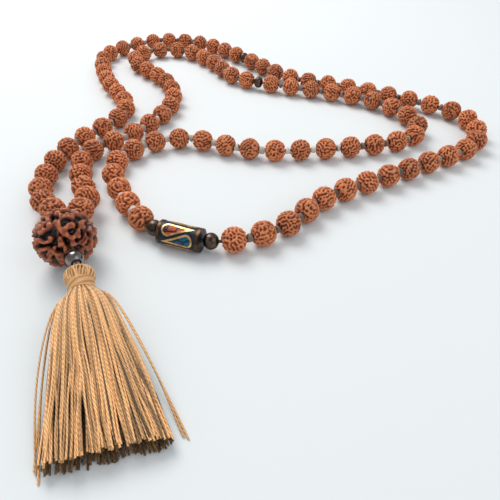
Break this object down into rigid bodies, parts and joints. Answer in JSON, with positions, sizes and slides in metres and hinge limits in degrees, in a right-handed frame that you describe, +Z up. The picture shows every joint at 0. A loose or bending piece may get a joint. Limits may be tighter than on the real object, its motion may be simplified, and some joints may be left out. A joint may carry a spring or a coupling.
{
  "type": "mala prayer beads",
  "caption": "Closed string of ridged seed beads on a hand-knotted cord, with metal counters, an inlaid tube bead, a large guru seed and a spread thread tassel.",
  "frame": {"origin": "middle of the outline, on the surface the beads lie on", "axes": "+Z up from the surface, -Y towards the tassel, +X towards the wide side of the loop"},
  "size_m": [0.1712, 0.2476, 0.0176],
  "materials": {
    "seed": "matte, deeply ridged",
    "guru_seed": "matte with waxed lobes",
    "cord": "twisted waxed thread",
    "metal": "antiqued, dark and semi-gloss",
    "spacer": "polished, dulled",
    "tube_resin": "polished dark resin",
    "wire": "polished",
    "rim": "worn",
    "coral": "polished",
    "turquoise": "polished",
    "silk": "silky twisted thread",
    "knot_thread": "twisted thread"
  },
  "bodies": {
    "strand": {"cord_base": "cord", "seeds_neck_left": "seed", "seeds_back": "seed", "seeds_middle": "seed", "seeds_inner": "seed", "seeds_neck_right": "seed"},
    "waist_outer": {"cord_waist_outer": "cord", "seeds_waist_outer": "seed"},
    "corner": {"cord_corner": "cord", "seeds_corner": "seed"},
    "crown_outer": {"cord_crown_outer": "cord", "seeds_crown_outer": "seed"},
    "lobe_outer": {"cord_lobe_outer": "cord", "seeds_lobe_outer": "seed"},
    "front": {"cord_front": "cord", "seeds_front": "seed"},
    "cheek": {"cord_cheek": "cord", "seeds_cheek": "seed"},
    "lobe_inner": {"cord_lobe_inner": "cord", "seeds_lobe_inner": "seed"},
    "crown_inner": {"cord_crown_inner": "cord", "seeds_crown_inner": "seed"},
    "waist_inner": {"cord_waist_inner": "cord", "seeds_waist_inner": "seed"},
    "guru_end": {"guru_cord": "cord"},
    "tassel_tie": {"tassel_knot": "knot_thread"},
    "tassel": {"tassel_head": "silk", "tassel_wrap": "silk"},
    "threads": {"tassel_skirt": "silk"},
    "guru": {"guru_bead": "guru_seed"},
    "spacer": {"guru_spacer": "spacer"},
    "tube": {"tube_core": "tube_resin", "tube_rims": "rim", "tube_wires": "wire", "tube_coral": "coral", "tube_turquoise": "turquoise"},
    "flank_left": {"flank_bead_left": "metal"},
    "flank_right": {"flank_bead_right": "metal"},
    "counter_left": {"counter_left_bead": "metal"},
    "counter_right": {"counter_right_bead": "metal"},
    "seed_left_01": {"seed_left_01": "seed"},
    "seed_left_10": {"seed_left_10": "seed"},
    "seed_left_13": {"seed_left_13": "seed"},
    "seed_left_16": {"seed_left_16": "seed"},
    "seed_left_19": {"seed_left_19": "seed"},
    "seed_left_20": {"seed_left_20": "seed"},
    "seed_left_23": {"seed_left_23": "seed"},
    "seed_left_41": {"seed_left_41": "seed"},
    "seed_left_47": {"seed_left_47": "seed"},
    "seed_left_48": {"seed_left_48": "seed"},
    "seed_left_49": {"seed_left_49": "seed"},
    "seed_left_52": {"seed_left_52": "seed"},
    "seed_right_53": {"seed_right_53": "seed"},
    "seed_right_49": {"seed_right_49": "seed"},
    "seed_right_36": {"seed_right_36": "seed"},
    "seed_right_21": {"seed_right_21": "seed"},
    "seed_right_16": {"seed_right_16": "seed"},
    "seed_right_15": {"seed_right_15": "seed"},
    "seed_right_11": {"seed_right_11": "seed"},
    "seed_right_01": {"seed_right_01": "seed"}
  },
  "joints": [
    {"name": "waist_outer_lift", "type": "hinge", "parent": "strand", "child": "waist_outer", "pos_m": [-0.06808, 0.0318, 0.004], "axis": [0.0234, -0.9997, 0], "range_deg": [0, 60]},
    {"name": "corner_lift", "type": "hinge", "parent": "strand", "child": "corner", "pos_m": [-0.07567, 0.08235, 0.004], "axis": [-0.1293, 0.9916, 0], "range_deg": [0, 45]},
    {"name": "crown_outer_lift", "type": "hinge", "parent": "strand", "child": "crown_outer", "pos_m": [-0.04085, 0.10818, 0.004], "axis": [0.9507, -0.3102, 0], "range_deg": [0, 45]},
    {"name": "lobe_outer_lift", "type": "hinge", "parent": "strand", "child": "lobe_outer", "pos_m": [0.0511, 0.01257, 0.004], "axis": [-0.2188, -0.9758, 0], "range_deg": [0, 45]},
    {"name": "front_lift", "type": "hinge", "parent": "strand", "child": "front", "pos_m": [-0.01137, -0.03612, 0.004], "axis": [-0.9886, -0.1506, 0], "range_deg": [0, 45]},
    {"name": "cheek_lift", "type": "hinge", "parent": "strand", "child": "cheek", "pos_m": [-0.03853, -0.01344, 0.004], "axis": [0.4335, 0.9011, 0], "range_deg": [0, 40]},
    {"name": "lobe_inner_lift", "type": "hinge", "parent": "strand", "child": "lobe_inner", "pos_m": [0.04696, 0.01977, 0.004], "axis": [-0.1646, -0.9864, 0], "range_deg": [0, 45]},
    {"name": "crown_inner_lift", "type": "hinge", "parent": "strand", "child": "crown_inner", "pos_m": [-0.03941, 0.07607, 0.004], "axis": [0.9887, -0.1502, 0], "range_deg": [0, 60]},
    {"name": "waist_inner_lift", "type": "hinge", "parent": "strand", "child": "waist_inner", "pos_m": [-0.05152, 0.0361, 0.004], "axis": [-0.1125, -0.9937, 0], "range_deg": [0, 55]},
    {"name": "guru_lift", "type": "hinge", "parent": "strand", "child": "guru_end", "pos_m": [-0.06222, -0.04135, 0.00665], "axis": [-0.9979, -0.0375, -0.0534], "range_deg": [0, 30]},
    {"name": "tassel_yaw", "type": "hinge", "parent": "guru_end", "child": "tassel_tie", "pos_m": [-0.05067, -0.07194, 0.0088], "axis": [0, 0, 1], "range_deg": [-40, 40]},
    {"name": "tassel_lift", "type": "hinge", "parent": "tassel_tie", "child": "tassel", "pos_m": [-0.05067, -0.07194, 0.0088], "axis": [-0.9426, -0.3338, 0], "range_deg": [0, 55]},
    {"name": "thread_flex", "type": "hinge", "parent": "tassel", "child": "threads", "pos_m": [-0.0467, -0.08316, 0.00728], "axis": [-0.9426, -0.3338, 0], "range_deg": [0, 30]},
    {"name": "guru_spin", "type": "hinge", "parent": "guru_end", "child": "guru", "pos_m": [-0.05749, -0.05965, 0.0088], "axis": [0.4848, -0.8746, 0], "continuous": true},
    {"name": "spacer_spin", "type": "hinge", "parent": "guru_end", "child": "spacer", "pos_m": [-0.05261, -0.06844, 0.0088], "axis": [0.4848, -0.8746, 0], "continuous": true},
    {"name": "tube_spin", "type": "hinge", "parent": "front", "child": "tube", "pos_m": [-0.02697, -0.053, 0.004], "axis": [-0.9415, 0.3369, 0], "continuous": true},
    {"name": "flank_left_spin", "type": "hinge", "parent": "front", "child": "flank_left", "pos_m": [-0.01817, -0.05544, 0.004], "axis": [-0.9973, 0.0738, 0], "continuous": true},
    {"name": "flank_right_spin", "type": "hinge", "parent": "front", "child": "flank_right", "pos_m": [-0.03529, -0.04926, 0.004], "axis": [-0.8056, 0.5925, 0], "continuous": true},
    {"name": "counter_left_spin", "type": "hinge", "parent": "strand", "child": "counter_left", "pos_m": [-0.00992, 0.09236, 0.004], "axis": [0.6359, -0.7718, 0], "continuous": true},
    {"name": "counter_right_spin", "type": "hinge", "parent": "strand", "child": "counter_right", "pos_m": [-0.00303, 0.06055, 0.004], "axis": [-0.9248, 0.3806, 0], "continuous": true},
    {"name": "seed_left_01_spin", "type": "hinge", "parent": "guru_end", "child": "seed_left_01", "pos_m": [-0.06567, -0.04505, 0.00744], "axis": [-0.6378, 0.7323, -0.2386], "continuous": true},
    {"name": "seed_left_10_spin", "type": "hinge", "parent": "waist_outer", "child": "seed_left_10", "pos_m": [-0.05925, 0.03227, 0.004], "axis": [-0.0732, 0.9973, 0], "continuous": true},
    {"name": "seed_left_13_spin", "type": "hinge", "parent": "strand", "child": "seed_left_13", "pos_m": [-0.0707, 0.05662, 0.004], "axis": [-0.4696, 0.8829, 0], "continuous": true},
    {"name": "seed_left_16_spin", "type": "hinge", "parent": "corner", "child": "seed_left_16", "pos_m": [-0.08034, 0.08209, 0.004], "axis": [-0.2543, 0.9671, 0], "continuous": true},
    {"name": "seed_left_19_spin", "type": "hinge", "parent": "strand", "child": "seed_left_19", "pos_m": [-0.07523, 0.10726, 0.004], "axis": [0.7159, 0.6982, 0], "continuous": true},
    {"name": "seed_left_20_spin", "type": "hinge", "parent": "strand", "child": "seed_left_20", "pos_m": [-0.06829, 0.1132, 0.004], "axis": [0.7999, 0.6002, 0], "continuous": true},
    {"name": "seed_left_23_spin", "type": "hinge", "parent": "crown_outer", "child": "seed_left_23", "pos_m": [-0.04288, 0.11846, 0.004], "axis": [0.9614, -0.2753, 0], "continuous": true},
    {"name": "seed_left_41_spin", "type": "hinge", "parent": "lobe_outer", "child": "seed_left_41", "pos_m": [0.08165, 0.01299, 0.004], "axis": [-0.1361, -0.9907, 0], "continuous": true},
    {"name": "seed_left_47_spin", "type": "hinge", "parent": "strand", "child": "seed_left_47", "pos_m": [0.04016, -0.02044, 0.004], "axis": [-0.8852, -0.4652, 0], "continuous": true},
    {"name": "seed_left_48_spin", "type": "hinge", "parent": "strand", "child": "seed_left_48", "pos_m": [0.03216, -0.02467, 0.004], "axis": [-0.883, -0.4694, 0], "continuous": true},
    {"name": "seed_left_49_spin", "type": "hinge", "parent": "strand", "child": "seed_left_49", "pos_m": [0.02424, -0.02904, 0.004], "axis": [-0.8678, -0.497, 0], "continuous": true},
    {"name": "seed_left_52_spin", "type": "hinge", "parent": "front", "child": "seed_left_52", "pos_m": [0.00455, -0.04714, 0.004], "axis": [-0.7767, -0.6298, 0], "continuous": true},
    {"name": "seed_right_53_spin", "type": "hinge", "parent": "strand", "child": "seed_right_53", "pos_m": [-0.04544, -0.03687, 0.004], "axis": [-0.5082, 0.8613, 0], "continuous": true},
    {"name": "seed_right_49_spin", "type": "hinge", "parent": "cheek", "child": "seed_right_49", "pos_m": [-0.04976, -0.00264, 0.004], "axis": [0.6421, 0.7666, 0], "continuous": true},
    {"name": "seed_right_36_spin", "type": "hinge", "parent": "lobe_inner", "child": "seed_right_36", "pos_m": [0.05957, 0.01661, 0.004], "axis": [-0.0055, 1, 0], "continuous": true},
    {"name": "seed_right_21_spin", "type": "hinge", "parent": "crown_inner", "child": "seed_right_21", "pos_m": [-0.04562, 0.10425, 0.004], "axis": [-0.9696, 0.2448, 0], "continuous": true},
    {"name": "seed_right_16_spin", "type": "hinge", "parent": "strand", "child": "seed_right_16", "pos_m": [-0.05702, 0.0758, 0.004], "axis": [0.6629, -0.7488, 0], "continuous": true},
    {"name": "seed_right_15_spin", "type": "hinge", "parent": "strand", "child": "seed_right_15", "pos_m": [-0.0511, 0.06888, 0.004], "axis": [0.6375, -0.7705, 0], "continuous": true},
    {"name": "seed_right_11_spin", "type": "hinge", "parent": "waist_inner", "child": "seed_right_11", "pos_m": [-0.04083, 0.03519, 0.004], "axis": [-0.1523, -0.9883, 0], "continuous": true},
    {"name": "seed_right_01_spin", "type": "hinge", "parent": "guru_end", "child": "seed_right_01", "pos_m": [-0.05715, -0.04542, 0.00781], "axis": [-0.3006, -0.9374, 0.1757], "continuous": true}
  ]
}
